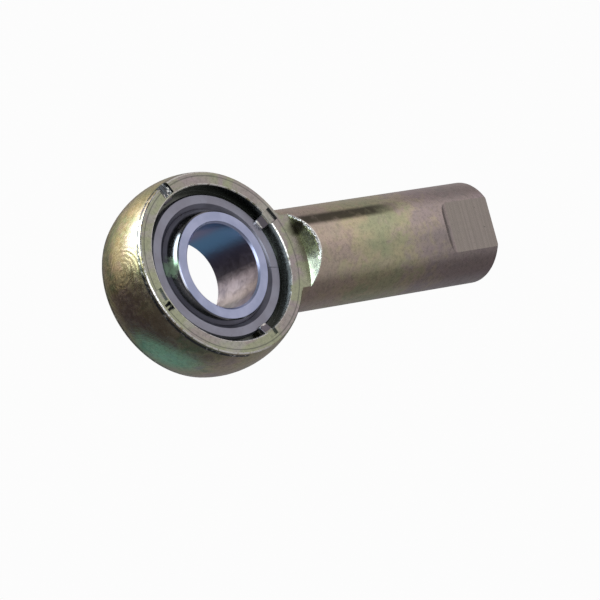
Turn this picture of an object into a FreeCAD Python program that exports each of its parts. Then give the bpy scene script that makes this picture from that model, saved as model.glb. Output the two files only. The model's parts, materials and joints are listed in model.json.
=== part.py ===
import FreeCAD, Part
import math
import os
from collections import namedtuple

# Female rod end with a spherical plain bearing staked into its eye.
# Millimetres.  Origin: centre of the bearing.  +X: along the threaded shank.  +Z: out of one
# face of the eye, along the axis of the bearing seat.  Both faces are alike but for two stakes.

V = FreeCAD.Vector
ORIGIN = V(0, 0, 0)
X_AXIS = V(1, 0, 0)
Z_AXIS = V(0, 0, 1)

# ---- Driving dimensions: bearing (20 x 35 x 16 x 12) ----
BORE_D = 20.0
RING_OUTSIDE_D = 35.0
INNER_WIDTH = 16.0
OUTER_WIDTH = 12.0
BALL_D = 30.0
BALL_CLEARANCE = 0.04          # radial, between the ball and its seat
BORE_CHAMFER = 0.45
BALL_EDGE_BREAK = 0.12
SEAT_MOUTH_R = 15.1            # opening in each face of the outer ring
OUTER_RING_CHAMFER = 0.4
SPLIT_WIDTH = 0.12             # the outer ring is cracked open once, to take the ball
SPLIT_ANGLE = -9.0
RING_TILT = 5.0                # the ball swivels freely and lies this far off square
RING_TILT_HEADING = 24.0       # direction of the tilt axis in the XY plane, from +X

# ---- Driving dimensions: head ----
HEAD_D = 46.9
HEAD_WIDTH = 16.5
FACE_EDGE_BREAK = 0.2
MOUTH_D = 37.7
SEAT_HALF_LENGTH = 4.5         # the seat for the outer ring runs this far each way
MOUTH_CHAMFER = 0.2
FACING_FLOOR_R = 24.3          # where the facing cut meets the shank, at the face
FACING_TOP_R = 25.8            # the same cut at the top of the shank

# ---- Driving dimensions: shank and thread ----
SHANK_D = 24.3
SHANK_END_X = 80.6
SHANK_END_ROUND = 0.35
FLAT_ACROSS = 21.0             # over the two wrench flats
FLAT_START_X = 68.0
FLAT_RUN_OUT = 3.5
FLAT_CLOCKING = 5.5            # the flats lie this many degrees round the shank from the faces
NECK_FILLET = 0.5
THREAD_D = 16.0
THREAD_PITCH = 2.0
THREAD_DEPTH = 38.0
DRILL_DEPTH = 43.0
DRILL_POINT_ANGLE = 118.0
THREAD_CHAMFER = 0.5
BORE_SECTORS = 6

# ---- Driving dimensions: staking ----
# A punch mark is a pocket in a face, from one radius to another and so wide across, with ridges
# left by the punch.  Where the metal is pushed inwards, a lug reaches in over the outer ring.
Stake = namedtuple("Stake", "angle width inner_r outer_r depth ridges lug_reach lug_width faces")
BOTH_FACES = (1, -1)
UPPER_FACE = (1,)
STAKES = (
    Stake(27.5, 3.3, 18.4, 21.1, 0.6, 0, 2.2, 2.8, BOTH_FACES),
    Stake(116.0, 3.3, 19.3, 23.2, 0.9, 3, 0.7, 3.0, BOTH_FACES),
    Stake(195.3, 3.1, 19.4, 21.4, 0.5, 0, 0, 0, UPPER_FACE),
    Stake(204.0, 2.2, 19.3, 21.2, 0.5, 2, 0, 0, UPPER_FACE),
    Stake(292.5, 2.6, 18.4, 20.4, 0.6, 0, 2.1, 2.5, BOTH_FACES),
)
RIDGE_GROOVE_DEPTH = 0.35
LUG_TIP_Z = 6.7
LUG_CORNER = 0.8
LUG_EDGE = 0.3

# ---- Derived ----
head_r = HEAD_D / 2
face_z = HEAD_WIDTH / 2
shank_r = SHANK_D / 2
mouth_r = MOUTH_D / 2
ball_r = BALL_D / 2
ring_r = RING_OUTSIDE_D / 2
outer_half = OUTER_WIDTH / 2
inner_half = INNER_WIDTH / 2
sharp_height = THREAD_PITCH * math.sqrt(3) / 2
thread_r = THREAD_D / 2
minor_r = thread_r - sharp_height * 5 / 8
past = 1.0                     # how far cutters run past the faces they open

SIDES = (1, -1)                # the +Z face and the -Z face


def about_z(shape, degrees):
    """Turn a shape about the bearing axis."""
    turned = shape.copy()
    turned.rotate(ORIGIN, Z_AXIS, degrees)
    return turned


def on_side(shape, side):
    """Keep a shape on the +Z side, or turn it over onto the -Z side at the mirrored angle."""
    if side > 0:
        return shape
    return shape.mirror(ORIGIN, Z_AXIS)


def revolved(points):
    """A solid turned about the Z axis from an outline of (radius, z) points."""
    outline = [V(r, 0, z) for r, z in points]
    face = Part.Face(Part.makePolygon(outline + outline[:1]))
    return face.revolve(ORIGIN, Z_AXIS, 360)


# ---- Housing ----

def ball_and_shank():
    """The turned blank: a full ball on a cylinder, blended at the neck."""
    ball = Part.makeSphere(head_r)
    shank = Part.makeCylinder(shank_r, SHANK_END_X, ORIGIN, X_AXIS)
    shank = shank.makeFillet(SHANK_END_ROUND, [e for e in shank.Edges if on_end_rim(e)])
    blank = ball.fuse(shank)
    neck_x = math.sqrt(head_r ** 2 - shank_r ** 2)
    neck = [e for e in blank.Edges if is_circle_at(e, neck_x)]
    return blank.makeFillet(NECK_FILLET, neck)


def on_end_rim(edge):
    return is_circle_at(edge, SHANK_END_X)


def is_circle(edge):
    return not edge.Degenerated and isinstance(edge.Curve, Part.Circle)


def is_circle_at(edge, x):
    """True for an edge that is a full or part circle round the shank at this x."""
    if not is_circle(edge):
        return False
    return abs(edge.Curve.Center.x - x) < 0.01 and abs(edge.Curve.Axis.x) > 0.999


def facing_cut():
    """The tool path that flattens one face of the ball and bites a crescent into the shank."""
    top = shank_r + past
    slope = (FACING_TOP_R - FACING_FLOOR_R) / (shank_r - face_z)
    top_r = FACING_FLOOR_R + slope * (top - face_z)
    cone = Part.makeCone(FACING_FLOOR_R, top_r, top - face_z, V(0, 0, face_z))
    ball_top = Part.makeCylinder(head_r, head_r - face_z + past, V(0, 0, face_z))
    return cone.fuse(ball_top)


def face_rim_cut():
    """The narrow bevel between a face and the ball, which stops at the shank."""
    low_z = face_z - FACE_EDGE_BREAK
    low_r = math.sqrt(head_r ** 2 - low_z ** 2)
    high_r = math.sqrt(head_r ** 2 - face_z ** 2) - FACE_EDGE_BREAK
    ring = revolved([(high_r, face_z), (low_r, low_z), (low_r + past, low_z),
                     (low_r + past, face_z + past), (high_r, face_z + past)])
    return ring.cut(Part.makeCylinder(shank_r + NECK_FILLET, SHANK_END_X, ORIGIN, X_AXIS))


def bearing_bore():
    """The seat, the wider mouths on both sides and their chamfers, as one cutter."""
    chamfer = MOUTH_CHAMFER + past
    half = [(mouth_r, SEAT_HALF_LENGTH), (mouth_r, face_z - MOUTH_CHAMFER),
            (mouth_r + chamfer, face_z + past)]
    upper = [(0, face_z + past), *reversed(half), (ring_r, SEAT_HALF_LENGTH)]
    lower = [(r, -z) for r, z in reversed(upper)]
    return revolved(upper + lower)


def wrench_flat(side):
    """The slab milled off one side of the shank end, with the round run-out of the cutter."""
    depth = shank_r - FLAT_ACROSS / 2
    cutter_r = (FLAT_RUN_OUT ** 2 + depth ** 2) / (2 * depth)
    length = SHANK_END_X - FLAT_START_X + past
    slab = Part.makeBox(length, SHANK_D, 2 * cutter_r, V(FLAT_START_X, -shank_r, FLAT_ACROSS / 2))
    run_out_centre = V(FLAT_START_X, -shank_r, FLAT_ACROSS / 2 + cutter_r)
    run_out = Part.makeCylinder(cutter_r, SHANK_D, run_out_centre, V(0, 1, 0))
    cutter = slab.fuse(run_out)
    cutter.rotate(ORIGIN, X_AXIS, FLAT_CLOCKING if side > 0 else FLAT_CLOCKING + 180)
    return cutter


def thread_bore():
    """The drilled hole at the thread's minor diameter, in sectors, with its point and chamfer."""
    start = V(SHANK_END_X + past, 0, 0)
    sectors = []
    for n in range(BORE_SECTORS):
        sector = Part.makeCylinder(minor_r, DRILL_DEPTH + past, start, -X_AXIS, 360 / BORE_SECTORS)
        sector.rotate(ORIGIN, X_AXIS, n * 360 / BORE_SECTORS)
        sectors.append(sector)
    point_length = minor_r / math.tan(math.radians(DRILL_POINT_ANGLE / 2))
    point = Part.makeCone(minor_r, 0, point_length, V(SHANK_END_X - DRILL_DEPTH, 0, 0), -X_AXIS)
    chamfer_r = thread_r + THREAD_CHAMFER
    chamfer_length = chamfer_r - minor_r
    chamfer = Part.makeCone(chamfer_r + past, minor_r, chamfer_length + past, start, -X_AXIS)
    return sectors + [point, chamfer]


def thread_groove():
    """The helical groove between the thread's crests, swept along the bore."""
    overlap = 0.15             # the profile starts inside the bore, so the cut is clean
    root_half = THREAD_PITCH * 3 / 8 + overlap * math.tan(math.radians(30))
    crest_half = THREAD_PITCH / 16
    inner_r = minor_r - overlap
    profile = [V(inner_r, 0, -root_half), V(thread_r, 0, -crest_half),
               V(thread_r, 0, crest_half), V(inner_r, 0, root_half)]
    helix = Part.makeLongHelix(THREAD_PITCH, THREAD_DEPTH, minor_r, 0)
    sweep = Part.BRepOffsetAPI.MakePipeShell(helix)
    sweep.setFrenetMode(True)
    sweep.add(Part.makePolygon(profile + profile[:1]))
    sweep.build()
    sweep.makeSolid()
    groove = sweep.shape()
    groove.rotate(ORIGIN, V(0, 1, 0), 90)
    groove.translate(V(SHANK_END_X - THREAD_DEPTH, 0, 0))
    return groove


def stake_mark(stake, side):
    """The pocket that a staking punch leaves in a face."""
    pocket = Part.makeBox(stake.outer_r - stake.inner_r, stake.width, stake.depth + past,
                          V(stake.inner_r, -stake.width / 2, face_z - stake.depth))
    return on_side(about_z(pocket, stake.angle), side)


def stake_grooves(stake, side):
    """The V grooves between the ridges on the floor of a punch mark."""
    floor = face_z - stake.depth
    step = stake.width / max(stake.ridges, 1)
    grooves = []
    for n in range(stake.ridges):
        y = (n + 0.5) * step - stake.width / 2
        outline = [V(stake.inner_r, y - step * 0.4, floor + 0.1),
                   V(stake.inner_r, y, floor - RIDGE_GROOVE_DEPTH),
                   V(stake.inner_r, y + step * 0.4, floor + 0.1)]
        face = Part.Face(Part.makePolygon(outline + outline[:1]))
        groove = face.extrude(V(stake.outer_r - stake.inner_r, 0, 0))
        grooves.append(on_side(about_z(groove, stake.angle), side))
    return grooves


def stake_lug(stake, side):
    """The metal that the punch pushes in over the outer ring, lower towards its blunt tip."""
    tip_x = mouth_r - stake.lug_reach
    root_x = mouth_r + past / 2
    outline = [V(root_x, 0, outer_half), V(tip_x, 0, outer_half),
               V(tip_x, 0, LUG_TIP_Z), V(root_x, 0, face_z - stake.depth)]
    face = Part.Face(Part.makePolygon(outline + outline[:1]))
    face.translate(V(0, -stake.lug_width / 2, 0))
    lug = face.extrude(V(0, stake.lug_width, 0))
    corner = min(LUG_CORNER, stake.lug_reach / 2)
    lug = lug.makeFillet(corner, [e for e in lug.Edges if is_tip_corner(e, tip_x)])
    lug = lug.makeFillet(LUG_EDGE, [e for e in lug.Edges if is_lug_rim(e, root_x)])
    return on_side(about_z(lug, stake.angle), side)


def is_tip_corner(edge, tip_x):
    """True for the two upright edges at the tip of a lug."""
    box = edge.BoundBox
    return box.XMax < tip_x + 0.01 and box.ZLength > 0.1 and box.YLength < 0.01


def is_lug_rim(edge, root_x):
    """True for the top edges round a lug, apart from the one that is buried in the mouth wall."""
    box = edge.BoundBox
    return box.ZMin > LUG_TIP_Z - 0.01 and box.XMin < root_x - 0.01


def housing():
    body = ball_and_shank()
    cutters = [on_side(facing_cut(), side) for side in SIDES]
    cutters += [wrench_flat(side) for side in SIDES]
    cutters += [on_side(face_rim_cut(), side) for side in SIDES]
    body = body.cut(cutters)
    body = body.cut(bearing_bore())
    for stake in STAKES:
        for side in stake.faces:
            if stake.lug_reach:
                body = body.fuse(stake_lug(stake, side))
            body = body.cut([stake_mark(stake, side), *stake_grooves(stake, side)])
    body = body.cut(thread_bore())
    return body.cut(thread_groove())


# ---- Bearing rings ----

def outer_ring():
    """The ring with the spherical seat, chamfered, and split once."""
    c = OUTER_RING_CHAMFER
    seat_r = ball_r + BALL_CLEARANCE
    blank = revolved([(0, outer_half), (ring_r - c, outer_half), (ring_r, outer_half - c),
                      (ring_r, c - outer_half), (ring_r - c, -outer_half), (0, -outer_half)])
    ring = blank.cut(Part.makeSphere(seat_r))
    for side in SIDES:
        flare = Part.makeCone(SEAT_MOUTH_R + past, SEAT_MOUTH_R - outer_half,
                              outer_half + past, V(0, 0, outer_half + past), -Z_AXIS)
        ring = ring.cut(on_side(flare, side))
    split = Part.makeBox(ring_r, SPLIT_WIDTH, OUTER_WIDTH + 2 * past,
                         V(ball_r / 2, -SPLIT_WIDTH / 2, -outer_half - past))
    return ring.cut(about_z(split, SPLIT_ANGLE))


def inner_ring():
    """The ball, truncated and bored, lying a little off square."""
    half = inner_half
    land_r = math.sqrt(ball_r ** 2 - half ** 2) - BALL_EDGE_BREAK
    envelope = revolved([(0, -half), (land_r, -half), (land_r + half, 0), (land_r, half), (0, half)])
    ring = Part.makeSphere(ball_r).common(envelope)
    bore_r = BORE_D / 2
    c = BORE_CHAMFER + past
    cutter = revolved([(0, half + past), (bore_r + c, half + past), (bore_r, half - BORE_CHAMFER),
                       (bore_r, BORE_CHAMFER - half), (bore_r + c, -half - past), (0, -half - past)])
    ring = ring.cut(cutter)
    heading = math.radians(RING_TILT_HEADING)
    ring.rotate(ORIGIN, V(math.cos(heading), math.sin(heading), 0), RING_TILT)
    return ring


# ---- Files ----

PARTS = {
    "rod_end_housing": housing,
    "outer_ring": outer_ring,
    "inner_ring": inner_ring,
}

os.makedirs("parts", exist_ok=True)
for name, make in PARTS.items():
    shape = make()
    if len(shape.Solids) != 1 or not shape.isValid():
        raise ValueError(f"{name} is not one valid solid")
    shape.Solids[0].exportStep(f"parts/{name}.step")
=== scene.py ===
import json
import math
from types import SimpleNamespace

import bpy
from mathutils import Matrix, Vector


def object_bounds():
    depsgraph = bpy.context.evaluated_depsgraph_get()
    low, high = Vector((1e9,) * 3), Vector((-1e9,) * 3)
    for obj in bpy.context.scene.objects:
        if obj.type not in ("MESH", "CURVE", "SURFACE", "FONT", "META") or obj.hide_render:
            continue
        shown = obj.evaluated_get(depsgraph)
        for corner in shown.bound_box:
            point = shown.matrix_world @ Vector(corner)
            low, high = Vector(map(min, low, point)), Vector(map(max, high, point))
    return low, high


# Looks of a rod end bearing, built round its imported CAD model.
# Lengths are metres, apart from the values named mm and all lengths inside the materials.

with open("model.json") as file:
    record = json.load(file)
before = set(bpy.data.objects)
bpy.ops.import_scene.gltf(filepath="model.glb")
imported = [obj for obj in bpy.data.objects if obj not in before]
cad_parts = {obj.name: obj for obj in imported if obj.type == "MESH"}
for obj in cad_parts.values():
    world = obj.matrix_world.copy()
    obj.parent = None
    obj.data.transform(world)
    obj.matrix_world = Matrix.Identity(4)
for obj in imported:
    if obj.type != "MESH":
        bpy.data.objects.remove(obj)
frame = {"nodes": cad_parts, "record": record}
cad_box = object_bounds()

MM = 0.001

# ---- Sizes, read from the frame ----
mounts = {m["name"]: m for m in frame["record"]["mounts"]}
FLOOR_Z = cad_box[0][2]
EYE_FACE_MM = mounts["eye_face_upper"]["pos_m"][2] / MM
HEAD_R_MM = -cad_box[0][0] / MM
SHANK_R_MM = cad_box[1][2] / MM
BORE_AXIS = Vector(mounts["bearing_bore"]["axis"])
BORE_R_MM = mounts["bearing_bore"]["dims"]["r_mm"]
FLAT_NORMAL = Vector(mounts["wrench_flat_upper"]["axis"])

# ---- Sizes that the frame doesn't state ----
BALL_R_MM = 15.0
OUTER_RING_FACE_MM = 6.0       # height of the outer ring's faces
MOUTH_R_MM = 18.85
RIM_R_MM = 21.9                # outer edge of the eye's faces
FACE_LINE_R_MM = 21.0          # a turned line on each of those faces
FACING_R_MM = 24.3             # the cone of the facing cut, at the height of the eye's face
FACING_SLOPE = 0.385           # how much wider that cone grows per height
SHANK_START_MM = 23.0
FLAT_START_MM = 68.0

# ---- Camera: a long lens from above the eye, rolled so that the shank runs to the right ----
CAMERA_AIM = Vector((16.2, -12.3, 10.5)) * MM
CAMERA_AZIMUTH = -163.3
CAMERA_ELEVATION = 48.8
CAMERA_ROLL = 58.7
CAMERA_DISTANCE = 0.924
CAMERA_LENS_MM = 243.4
CAMERA_CLIP = (0.01, 20)

# ---- Stage ----
FLOOR_HALF = 3.0
DRUM_R = 2.9
DRUM_TOP = 3.0
DRUM_SIDES = 48
STAGE_WHITE = 0.975


def direction(azimuth, elevation):
    """A unit vector from two angles in degrees: azimuth from +X towards +Y, elevation above the floor."""
    a, e = math.radians(azimuth), math.radians(elevation)
    return Vector((math.cos(e) * math.cos(a), math.cos(e) * math.sin(a), math.sin(e)))


# ---- Marks on the metal, and where reflections are painted ----
POLE = direction(174, 4)       # the lathe centre on the outside of the eye
POLE_RING_PITCH_MM = 1.1
GREEN_REFLECTION_AIM = direction(175, 26)     # the centre of a green reflection painted on the ball
# the dark streak at this heading is a painted reflection
STREAK_HEADING = 31            # degrees round the shank from +Z


def make_camera():
    away = direction(CAMERA_AZIMUTH, CAMERA_ELEVATION)
    right = Vector((0, 0, 1)).cross(away).normalized()
    up = away.cross(right)
    turn = Matrix.Rotation(math.radians(CAMERA_ROLL), 3, away)
    axes = Matrix((turn @ right, turn @ up, away)).transposed()
    data = bpy.data.cameras.new("camera")
    data.lens = CAMERA_LENS_MM
    data.clip_start, data.clip_end = CAMERA_CLIP
    camera = bpy.data.objects.new("camera", data)
    camera.matrix_world = Matrix.Translation(CAMERA_AIM + away * CAMERA_DISTANCE) @ axes.to_4x4()
    bpy.context.collection.objects.link(camera)
    bpy.context.scene.camera = camera


# ---- Node helpers ----

class Tree:
    """Short calls for building one node tree."""

    def __init__(self, tree):
        self.tree = tree
        tree.nodes.clear()

    def node(self, kind, inputs=None, **settings):
        made = self.tree.nodes.new(kind)
        for name, value in settings.items():
            setattr(made, name, value)
        for name, value in (inputs or {}).items():
            self.feed(made.inputs[name], value)
        return made

    def feed(self, socket, value):
        if isinstance(value, bpy.types.NodeSocket):
            self.tree.links.new(value, socket)
        else:
            socket.default_value = value

    def math(self, operation, a, b=0.0):
        return self.node("ShaderNodeMath", {0: a, 1: b}, operation=operation).outputs[0]

    def add(self, a, b):
        return self.math("ADD", a, b)

    def subtract(self, a, b):
        return self.math("SUBTRACT", a, b)

    def times(self, *factors):
        out = factors[0]
        for factor in factors[1:]:
            out = self.math("MULTIPLY", out, factor)
        return out

    def either(self, a, b):
        return self.math("MAXIMUM", a, b)

    def size(self, value):
        return self.math("ABSOLUTE", value)

    def length(self, a, b):
        return self.math("SQRT", self.add(self.times(a, a), self.times(b, b)))

    def ramp(self, value, low, high, to_low=0.0, to_high=1.0):
        """value from low to high, eased to to_low to to_high and held outside."""
        inputs = {"Value": value, "From Min": low, "From Max": high, "To Min": to_low, "To Max": to_high}
        made = self.node("ShaderNodeMapRange", inputs, interpolation_type="SMOOTHSTEP")
        return made.outputs[0]

    def band(self, value, centre, half_width, soft):
        """1 within half_width of centre, falling to 0 over soft beyond it."""
        off = self.size(self.subtract(value, centre))
        return self.ramp(off, half_width, half_width + soft, 1.0, 0.0)

    def mix(self, share, a, b):
        """Colour a, or colour b where share is 1."""
        return self.node("ShaderNodeMix", {0: share, 6: a, 7: b}, data_type="RGBA").outputs[2]

    def pick(self, share, a, b):
        """Value a, or value b where share is 1."""
        return self.node("ShaderNodeMix", {0: share, 2: a, 3: b}).outputs[0]

    def palette(self, value, stops):
        made = self.node("ShaderNodeValToRGB", {0: value})
        marks = made.color_ramp.elements
        marks[0].color = stops[0][1]
        marks[1].color = stops[-1][1]
        for position, color in stops[1:-1]:
            marks.new(position).color = color
        return made.outputs[0]

    def noise(self, vector, scale, detail=2.0, roughness=0.5, distortion=0.0):
        inputs = {"Vector": vector, "Scale": scale, "Detail": detail, "Roughness": roughness,
                  "Distortion": distortion}
        return self.node("ShaderNodeTexNoise", inputs).outputs["Fac"]

    def line_noise(self, value, scale):
        """Noise that varies with one value only, so it draws lines or rings."""
        inputs = {"W": value, "Scale": scale, "Detail": 3.0}
        return self.node("ShaderNodeTexNoise", inputs, noise_dimensions="1D").outputs["Fac"]

    def scaled(self, vector, x, y, z):
        inputs = {0: vector, 1: (x, y, z)}
        return self.node("ShaderNodeVectorMath", inputs, operation="MULTIPLY").outputs[0]

    def dot(self, vector, constant):
        inputs = {0: vector, 1: constant}
        return self.node("ShaderNodeVectorMath", inputs, operation="DOT_PRODUCT").outputs["Value"]

    def split(self, vector):
        return self.node("ShaderNodeSeparateXYZ", {0: vector}).outputs[:]

    def place_mm(self):
        """The point on the piece in its own CAD frame, in millimetres."""
        point = self.node("ShaderNodeTexCoord").outputs["Object"]
        return self.scaled(point, 1 / MM, 1 / MM, 1 / MM)

    def surface_normal(self):
        return self.node("ShaderNodeTexCoord").outputs["Normal"]

    def bump(self, height, distance_mm, strength=1.0, normal=None):
        inputs = {"Height": height, "Distance": distance_mm * MM, "Strength": strength}
        if normal:
            inputs["Normal"] = normal
        return self.node("ShaderNodeBump", inputs).outputs[0]


def rgb(r, g, b):
    return (r, g, b, 1.0)


def new_material(name):
    material = bpy.data.materials.new(name)
    material.use_nodes = True
    return material, Tree(material.node_tree)


def metal(t, color, roughness, normal, metallic=1.0):
    inputs = {"Base Color": color, "Roughness": roughness, "Metallic": metallic, "Normal": normal}
    shader = t.node("ShaderNodeBsdfPrincipled", inputs)
    t.node("ShaderNodeOutputMaterial", {"Surface": shader.outputs[0]})


# ---- Colours of the plated housing ----

GREY = rgb(0.50, 0.51, 0.49)
OLIVE = rgb(0.40, 0.42, 0.29)
STRAW = rgb(0.63, 0.57, 0.38)
GREEN = rgb(0.34, 0.44, 0.28)
YELLOW_GREEN = rgb(0.42, 0.50, 0.29)
CRESCENT_HIGHLIGHT_GREEN = rgb(0.80, 0.88, 0.68)
BITE_OLIVE = rgb(0.30, 0.35, 0.18)
# dark olive also serves as the painted shade inside the mouth
DARK_OLIVE = rgb(0.11, 0.12, 0.11)
FACE_SHADE = rgb(0.28, 0.33, 0.29)
MAUVE = rgb(0.46, 0.38, 0.42)
PINK_BROWN = rgb(0.56, 0.46, 0.41)
# dark colour of a painted reflection along the top of the shank
STREAK = rgb(0.05, 0.045, 0.03)
WALL_GREY = rgb(0.42, 0.46, 0.47)
MILLED_DARK = rgb(0.33, 0.31, 0.28)
MILLED_LIGHT = rgb(0.39, 0.36, 0.33)
STAKED = rgb(0.12, 0.13, 0.14)
LUG = rgb(0.17, 0.16, 0.19)
# bright metal of worn edges and scars, also used for the painted highlight on the lugs' tips
WEAR_AND_HIGHLIGHT = rgb(0.85, 0.85, 0.83)
# the film's colours in the order that they follow each other as it thickens
FILM = ((0.0, MAUVE), (0.28, PINK_BROWN), (0.45, STRAW), (0.60, OLIVE), (0.72, GREEN), (0.88, MAUVE),
        (1.0, GREY))

# ---- Colours of the bearing rings ----

RING_DARK = rgb(0.29, 0.30, 0.37)
RING_LIGHT = rgb(0.36, 0.38, 0.47)
RING_MARK = rgb(0.20, 0.19, 0.20)
LAND_DARK = rgb(0.44, 0.50, 0.73)
LAND_LIGHT = rgb(0.53, 0.59, 0.84)
BORE_DARK = rgb(0.26, 0.26, 0.36)
BORE_LIGHT = rgb(0.46, 0.46, 0.60)
# colour of a reflection painted in the bore
BORE_REFLECTION_BLUE = rgb(0.31, 0.32, 0.54)
BALL_GREY = rgb(0.28, 0.28, 0.30)
REFLECTION_GREEN = rgb(0.34, 0.50, 0.34)


# ---- The plated housing ----

def housing_surface(t):
    """Where a point of the housing lies, in mm, the shares from 0 to 1 of what it is on, and the noises."""
    at = SimpleNamespace()
    at.place = t.place_mm()
    at.x, at.y, at.z = t.split(at.place)
    at.from_shank_axis = t.length(at.y, at.z)
    at.from_seat_axis = t.length(at.x, at.y)
    at.height = t.size(at.z)

    facing = t.surface_normal()
    facing_x, at.facing_y, facing_z = t.split(facing)
    at.upright = t.size(facing_z)
    at.on_shank = t.ramp(at.x, SHANK_START_MM - 4, SHANK_START_MM)
    at.end_on = t.times(t.ramp(t.size(facing_x), 0.6, 0.8), at.on_shank)
    at.on_face = t.times(t.ramp(at.upright, 0.97, 0.995), t.band(at.height, EYE_FACE_MM - 0.5, 0.55, 0.05))
    at.on_flat = t.times(t.ramp(t.size(t.dot(facing, FLAT_NORMAL)), 0.985, 0.997),
                         t.ramp(at.x, FLAT_START_MM - 2, FLAT_START_MM))
    # the crescent that the facing cut bites into the shank
    at.in_bite = t.times(at.end_on, t.ramp(at.x, 30.0, 28.0))

    # from slow to fine
    at.wander = t.noise(at.place, 0.07, 4.0, 0.55, 0.6)
    at.patch = t.noise(t.scaled(at.place, 0.6, 1.0, 1.0), 0.13, 3.0, 0.55, 0.7)
    at.small = t.noise(at.place, 0.30, 3.0, 0.6, 0.4)
    at.nick = t.noise(at.place, 0.9, 3.0, 0.7)
    at.mottle = t.noise(at.place, 1.1, 4.0, 0.7)
    at.ragged_depth = t.add(at.from_shank_axis, t.ramp(at.nick, 0.35, 0.65, -0.25, 0.15))
    return at


def film_color(t, at):
    """The passivation film, whose thickness wanders over the metal."""
    thickness = t.add(t.times(at.wander, 0.7), t.times(at.small, 0.3))
    film = t.palette(t.ramp(thickness, 0.30, 0.70), FILM)
    return t.mix(t.ramp(at.patch, 0.40, 0.62, 0.15, 0.75), film, STRAW)


def shank_color(t, at, color):
    """Pinkish by the head, straw and green half way, mauve and darker towards the milled flats."""
    wavering_x = t.add(at.x, t.ramp(at.small, 0.2, 0.8, -8.0, 8.0))
    green = t.times(t.band(wavering_x, 46.0, 3.0, 9.0), t.ramp(at.patch, 0.35, 0.65, 0.1, 0.7))
    shank = t.mix(t.ramp(wavering_x, 26.0, 42.0), PINK_BROWN, STRAW)
    shank = t.mix(green, shank, GREEN)
    shank = t.mix(t.ramp(wavering_x, 48.0, 64.0), shank, MAUVE)
    color = t.mix(t.times(at.on_shank, 0.8), color, shank)
    color = t.mix(t.ramp(at.x, 48.0, 76.0, 0.0, 0.25), color, DARK_OLIVE)
    milled = t.mix(t.ramp(t.line_noise(at.x, 1.1), 0.35, 0.65), MILLED_DARK, MILLED_LIGHT)
    return t.mix(t.times(at.on_flat, 0.8), color, milled)


def faced_color(t, at, color):
    """The crescent, olive with a painted highlight of pale green towards -Y, and the eye's faces in grey,
    mauve and yellow-green.
    """
    # painted highlight: the crescent turns pale green towards -Y
    crescent = t.mix(t.ramp(at.y, -3.5, -0.5), CRESCENT_HIGHLIGHT_GREEN, BITE_OLIVE)
    color = t.mix(t.times(at.in_bite, 0.85), color, crescent)
    face = t.mix(t.ramp(at.wander, 0.45, 0.56), GREY, MAUVE)
    face = t.mix(t.ramp(at.patch, 0.44, 0.58, 0.0, 0.8), face, YELLOW_GREEN)
    return t.mix(t.times(at.on_face, 0.85), color, t.mix(0.3, face, FACE_SHADE))


def mottle_and_painted_reflection_color(t, at, color):
    """Fine dark mottling, and a painted reflection: a dark streak along the top of the shank."""
    clean = t.either(at.on_flat, at.in_bite)
    mottled = t.times(t.ramp(at.mottle, 0.46, 0.64), t.ramp(clean, 0.0, 1.0, 0.25, 0.0))
    color = t.mix(mottled, color, DARK_OLIVE)
    # painted reflection: a dark streak along the top of the shank
    heading = t.math("ARCTAN2", at.y, at.z)
    streak = t.times(t.band(heading, math.radians(STREAK_HEADING), math.radians(4), math.radians(7)),
                     t.ramp(at.x, 20.0, 24.0), t.ramp(at.x, 57.0, 45.0),
                     t.ramp(at.small, 0.25, 0.50, 0.7, 1.0))
    return t.mix(t.times(streak, 0.95), color, STREAK)


def mouth_shade_and_sheen_color(t, at, color):
    """Painted shade darkens the wall and the ledge inside the mouth, and a painted sheen of lighter, less
    metallic grey lies on the wall where it opens.  The share of that sheen is given too.
    """
    wall = t.times(t.band(at.from_seat_axis, MOUTH_R_MM, 0.04, 0.04),
                   t.ramp(at.height, EYE_FACE_MM - 0.15, EYE_FACE_MM - 0.35))
    ledge = t.times(t.ramp(at.from_seat_axis, MOUTH_R_MM + 0.1, MOUTH_R_MM), t.ramp(at.height, 5.2, 5.0))
    # painted shade: the mouth's wall and the ledge below it are darkened to dark olive
    color = t.mix(t.either(wall, ledge), color, DARK_OLIVE)
    # painted sheen: a lighter, less metallic grey on the mouth wall, growing towards its opening
    wall_sheen = t.times(wall, t.ramp(at.height, 6.4, 7.8, 0.35, 1.0), t.ramp(at.nick, 0.3, 0.7, 0.7, 1.0),
                    t.band(at.facing_y, 0.12, 0.4, 0.5))
    return t.mix(wall_sheen, color, WALL_GREY), wall_sheen


def rubbed_color(t, at, color):
    """Bright nicked edges round the mouth and the eye's faces, and a bright ragged lip on the crescent."""
    near_face = t.band(at.height, EYE_FACE_MM, 0.22, 0.1)
    edge = t.times(t.band(at.from_seat_axis, MOUTH_R_MM + 0.12, 0.13, 0.05), near_face)
    rim = t.times(t.band(at.from_seat_axis, RIM_R_MM, 0.16, 0.06), near_face, t.ramp(at.x, 10.0, 2.0))
    nicked = t.times(t.either(edge, rim), t.ramp(at.nick, 0.38, 0.48))
    cone_r = t.add(t.times(t.subtract(at.height, EYE_FACE_MM), FACING_SLOPE), FACING_R_MM)
    lip = t.times(t.band(t.subtract(at.from_seat_axis, cone_r), 0.1, 0.2, 0.1),
                  t.ramp(at.ragged_depth, SHANK_R_MM - 0.5, SHANK_R_MM - 0.4),
                  t.ramp(at.height, EYE_FACE_MM, EYE_FACE_MM + 0.2), t.ramp(at.y, -4.0, -1.0, 0.2, 1.0))
    return t.mix(t.either(nicked, lip), color, WEAR_AND_HIGHLIGHT)


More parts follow.
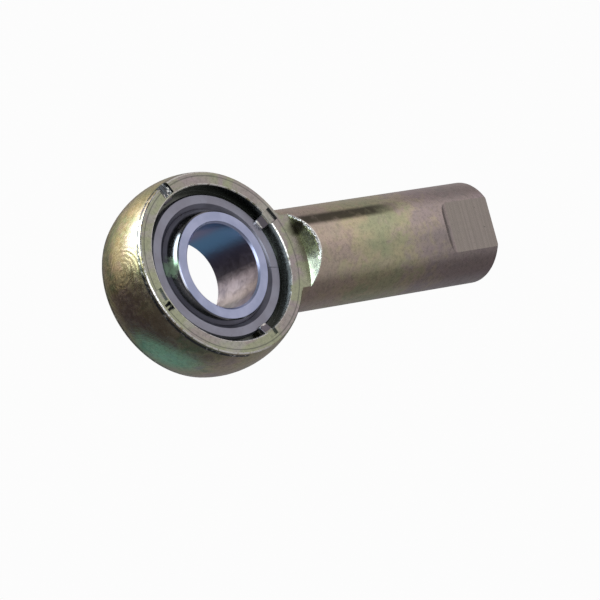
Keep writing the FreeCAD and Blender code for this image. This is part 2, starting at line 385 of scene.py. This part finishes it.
def staked_color(t, at, color):
    """Dark lugs with a painted highlight on their tips, painted shade on the walls round the punch marks,
    and a scarred floor in the deep one.
    """
    lug = t.times(t.ramp(at.from_seat_axis, MOUTH_R_MM - 0.1, MOUTH_R_MM - 0.2),
                  t.ramp(at.height, OUTER_RING_FACE_MM, OUTER_RING_FACE_MM + 0.1))
    # painted highlight: the lugs' tips in the bright colour
    painted_tip_highlight = t.ramp(t.add(at.from_seat_axis, at.nick), 17.7, 17.4)
    color = t.mix(lug, color, t.mix(painted_tip_highlight, LUG, WEAR_AND_HIGHLIGHT))
    # painted shade: the steep walls round the punch marks are dark
    mark_wall_shade = t.times(t.band(at.height, 7.8, 0.45, 0.03), t.band(at.from_seat_axis, 20.2, 1.25, 0.1),
                        t.ramp(at.upright, 0.6, 0.3))
    deep_mark = t.times(t.band(at.height, 7.2, 0.4, 0.1), t.band(at.from_seat_axis, 20.8, 1.5, 0.1),
                        t.ramp(at.x, 0.0, -1.0))
    scarred = t.mix(t.ramp(at.nick, 0.54, 0.62), STAKED, WEAR_AND_HIGHLIGHT)
    return t.mix(t.either(mark_wall_shade, deep_mark), color, t.mix(deep_mark, STAKED, scarred))


def marked_color(t, at, color):
    """A dark line round each face of the eye, and dark pits all over."""
    line = t.times(t.band(at.from_seat_axis, FACE_LINE_R_MM, 0.08, 0.12), at.on_face)
    color = t.mix(t.times(line, 0.6), color, DARK_OLIVE)
    pits = t.ramp(t.noise(at.place, 1.6, 2.0, 0.6), 0.70, 0.76)
    return t.mix(t.times(pits, 0.7), color, DARK_OLIVE)


def housing_normal(t, at):
    """Lathe rings, round the pole of the eye, the shank and the seat, over slightly uneven metal."""
    from_centre = t.either(t.length(at.from_shank_axis, at.x), 1.0)
    polar = t.math("ARCCOSINE", t.math("DIVIDE", t.dot(at.place, POLE), from_centre))
    from_pole = t.times(polar, HEAD_R_MM)
    rings = t.pick(at.on_shank, t.line_noise(from_pole, 2.4), t.line_noise(at.x, 2.4))
    rings = t.pick(at.on_face, rings, t.line_noise(at.from_seat_axis, 3.0))
    rings = t.pick(at.on_flat, rings, t.line_noise(at.x, 6.0))
    rings = t.pick(at.end_on, rings, t.line_noise(at.from_shank_axis, 3.0))
    normal = t.bump(rings, 0.03, 0.6)

    # coarser rings near the pole
    uneven = t.add(from_pole, t.ramp(at.small, 0.2, 0.8, -0.2, 0.2))
    pole_rings = t.math("SINE", t.times(uneven, 2 * math.pi / POLE_RING_PITCH_MM))
    by_pole = t.times(t.ramp(polar, math.radians(34), math.radians(18)),
                      t.ramp(at.mottle, 0.40, 0.60, 1.0, 0.2))
    normal = t.bump(t.times(pole_rings, by_pole), 0.022, 0.6, normal)

    normal = t.bump(at.small, 0.12, t.ramp(at.on_shank, 0.0, 1.0, 0.5, 0.25), normal)
    worn_lip = t.times(at.in_bite, t.ramp(at.ragged_depth, SHANK_R_MM - 0.85, SHANK_R_MM - 0.15),
                       t.ramp(at.y, -4.0, -1.0))
    normal = t.bump(worn_lip, -0.5, 1.0, normal)
    return t.bump(t.noise(at.place, 2.0, 3.0, 0.6), 0.012, 0.5, normal)


def plated_steel():
    """Yellow-passivated zinc over turned steel: patchy iridescence, lathe rings, small nicks."""
    material, t = new_material("plated_steel")
    at = housing_surface(t)
    color = film_color(t, at)
    color = shank_color(t, at, color)
    color = faced_color(t, at, color)
    color = mottle_and_painted_reflection_color(t, at, color)
    color, wall_sheen = mouth_shade_and_sheen_color(t, at, color)
    color = rubbed_color(t, at, color)
    color = staked_color(t, at, color)
    color = marked_color(t, at, color)
    roughness = t.ramp(t.noise(at.place, 0.8, 3.0), 0.3, 0.7, 0.20, 0.32)
    # less metallic where the sheen is painted on the mouth wall
    metal(t, color, roughness, housing_normal(t, at), t.ramp(wall_sheen, 0.0, 1.0, 1.0, 0.2))
    return material


# ---- The bearing rings ----

def ring_steel():
    """Ground bearing steel of the outer ring."""
    material, t = new_material("ring_steel")
    place = t.place_mm()
    tint = t.noise(place, 0.2, 3.0)
    color = t.mix(t.ramp(tint, 0.35, 0.65), RING_DARK, RING_LIGHT)
    marks = t.ramp(t.noise(place, 1.3, 2.0), 0.68, 0.74)
    color = t.mix(t.times(marks, 0.5), color, RING_MARK)
    normal = t.bump(t.noise(place, 3.0, 3.0), 0.01, 0.4)
    metal(t, color, t.ramp(tint, 0.3, 0.7, 0.30, 0.40), normal)
    return material


def ball_steel():
    """The inner ring: bright ground faces, a dark polished ball with a painted green reflection, a honed
    bore with a painted blue reflection towards +Y.
    """
    material, t = new_material("ball_steel")
    place = t.place_mm()
    from_centre = t.node("ShaderNodeVectorMath", {0: place}, operation="LENGTH").outputs["Value"]
    level = t.dot(place, BORE_AXIS)
    from_axis = t.math("SQRT", t.subtract(t.times(from_centre, from_centre), t.times(level, level)))
    on_ball = t.ramp(from_centre, BALL_R_MM - 0.10, BALL_R_MM - 0.05)
    in_bore = t.ramp(from_axis, BORE_R_MM + 0.06, BORE_R_MM + 0.02)
    ragged = t.ramp(t.noise(place, 0.5, 4.0, 0.6), 0.3, 0.7, -0.12, 0.12)
    # painted reflection: a ragged green patch on the ball
    green_reflection = t.times(on_ball, t.ramp(t.add(t.dot(place, GREEN_REFLECTION_AIM), ragged), BALL_R_MM - 0.3, BALL_R_MM))

    blotch = t.noise(place, 0.45, 3.0, 0.6, 0.5)
    land = t.mix(t.ramp(t.noise(place, 0.25, 3.0), 0.35, 0.65), LAND_DARK, LAND_LIGHT)
    bore = t.mix(t.ramp(blotch, 0.30, 0.70), BORE_DARK, BORE_LIGHT)
    # painted reflection: the bore turns blue towards +Y
    bore = t.mix(t.ramp(t.split(place)[1], 1.0, 6.0), bore, BORE_REFLECTION_BLUE)
    color = t.mix(in_bore, land, bore)
    color = t.mix(on_ball, color, t.mix(green_reflection, BALL_GREY, REFLECTION_GREEN))

    roughness = t.pick(on_ball, t.ramp(in_bore, 0.0, 1.0, 0.30, 0.28), 0.13)
    fine = t.bump(t.noise(place, 4.0, 3.0), 0.01, 0.3)
    normal = t.bump(t.times(blotch, in_bore), 0.12, 0.4, fine)
    # less metallic where the green reflection is painted
    metal(t, color, roughness, normal, t.ramp(green_reflection, 0.0, 1.0, 1.0, 0.5))
    return material


# ---- Studio ----

ROOM = (0.10, 0.10, 0.105)
# azimuth, elevation, inner and outer half-angle in degrees, colour: later lobes cover earlier ones
LOBES = (
    (-20, 62, 20, 75, (0.50, 0.48, 0.47)),
    (42, 32, 10, 45, (0.80, 0.74, 0.72)),
    (45, -20, 15, 38, (0.42, 0.38, 0.37)),
    (-35, -45, 15, 40, (0.24, 0.23, 0.24)),
    (-48, -6, 8, 30, (0.20, 0.18, 0.18)),
    (120, -80, 15, 35, (0.20, 0.20, 0.17)),
    (150, -50, 15, 40, (0.11, 0.095, 0.07)),
    (-155, -45, 20, 45, (0.06, 0.05, 0.05)),
    (78, -43, 6, 22, (0.46, 0.44, 0.33)),
    (108, -34, 12, 29, (1.0, 0.80, 0.55)),
    (134, -42, 6, 18, (0.80, 0.66, 0.52)),
    (98, -22, 4, 12, (1.6, 1.5, 1.5)),
    (114, -21, 6, 14, (5.0, 4.8, 4.4)),
    (128, -20, 7, 15, (6.0, 5.8, 5.4)),
    (141, -17, 4, 12, (4.5, 4.3, 3.9)),
    (-98, -58, 8, 26, (0.15, 0.32, 0.34)),
    (117, 3, 7, 13, (4.0, 4.7, 4.9)),
    (134, 4, 13, 21, (4.6, 5.4, 5.8)),
    (147, 6, 8, 15, (4.2, 4.8, 5.0)),
    (152, -8, 6, 12, (2.4, 2.7, 2.0)),
    (-178, 40, 10, 26, (2.4, 2.45, 2.5)),
)


def make_world():
    """A dim room with soft lobes of light, as the metal reflects it."""
    world = bpy.data.worlds.new("studio")
    bpy.context.scene.world = world
    world.use_nodes = True
    t = Tree(world.node_tree)
    toward = t.node("ShaderNodeTexCoord").outputs["Generated"]
    light = rgb(*ROOM)
    for azimuth, elevation, inner, outer, color in LOBES:
        closeness = t.dot(toward, direction(azimuth, elevation))
        share = t.ramp(closeness, math.cos(math.radians(outer)), math.cos(math.radians(inner)))
        light = t.mix(share, light, rgb(*color))
    sky = t.node("ShaderNodeBackground", {"Color": light, "Strength": 1.0})
    t.node("ShaderNodeOutputWorld", {"Surface": sky.outputs[0]})


def floor_mesh(mesh):
    corners = [(x * FLOOR_HALF, y * FLOOR_HALF, FLOOR_Z) for x, y in ((-1, -1), (1, -1), (1, 1), (-1, 1))]
    mesh.from_pydata(corners, [], [(0, 1, 2, 3)])


def backdrop_mesh(mesh):
    """A drum round the floor, with a lid."""
    angles = [2 * math.pi * n / DRUM_SIDES for n in range(DRUM_SIDES)]
    corners = [(DRUM_R * math.cos(a), DRUM_R * math.sin(a), z) for z in (FLOOR_Z, DRUM_TOP) for a in angles]
    walls = [(n, (n + 1) % DRUM_SIDES, DRUM_SIDES + (n + 1) % DRUM_SIDES, DRUM_SIDES + n)
             for n in range(DRUM_SIDES)]
    lid = tuple(range(DRUM_SIDES, 2 * DRUM_SIDES))
    mesh.from_pydata(corners, [], [*walls, lid])


def make_stage():
    """A plain pale floor and a pale surround, which only the camera sees."""
    for name, build in (("floor", floor_mesh), ("backdrop", backdrop_mesh)):
        mesh = bpy.data.meshes.new(name)
        build(mesh)
        stage = bpy.data.objects.new(name, mesh)
        bpy.context.collection.objects.link(stage)
        material, t = new_material(name)
        white = rgb(STAGE_WHITE, STAGE_WHITE, STAGE_WHITE)
        glow = t.node("ShaderNodeEmission", {"Color": white, "Strength": 1.0})
        t.node("ShaderNodeOutputMaterial", {"Surface": glow.outputs[0]})
        mesh.materials.append(material)
        for ray in ("glossy", "diffuse", "shadow", "transmission"):
            setattr(stage, f"visible_{ray}", False)


make_camera()
make_world()
make_stage()

LOOKS = {"rod_end_housing": plated_steel, "outer_ring": ring_steel, "inner_ring": ball_steel}
for node, look in LOOKS.items():
    slots = frame["nodes"][node].data.materials
    slots.clear()
    slots.append(look())

scene = bpy.context.scene
scene.view_settings.view_transform = "Standard"
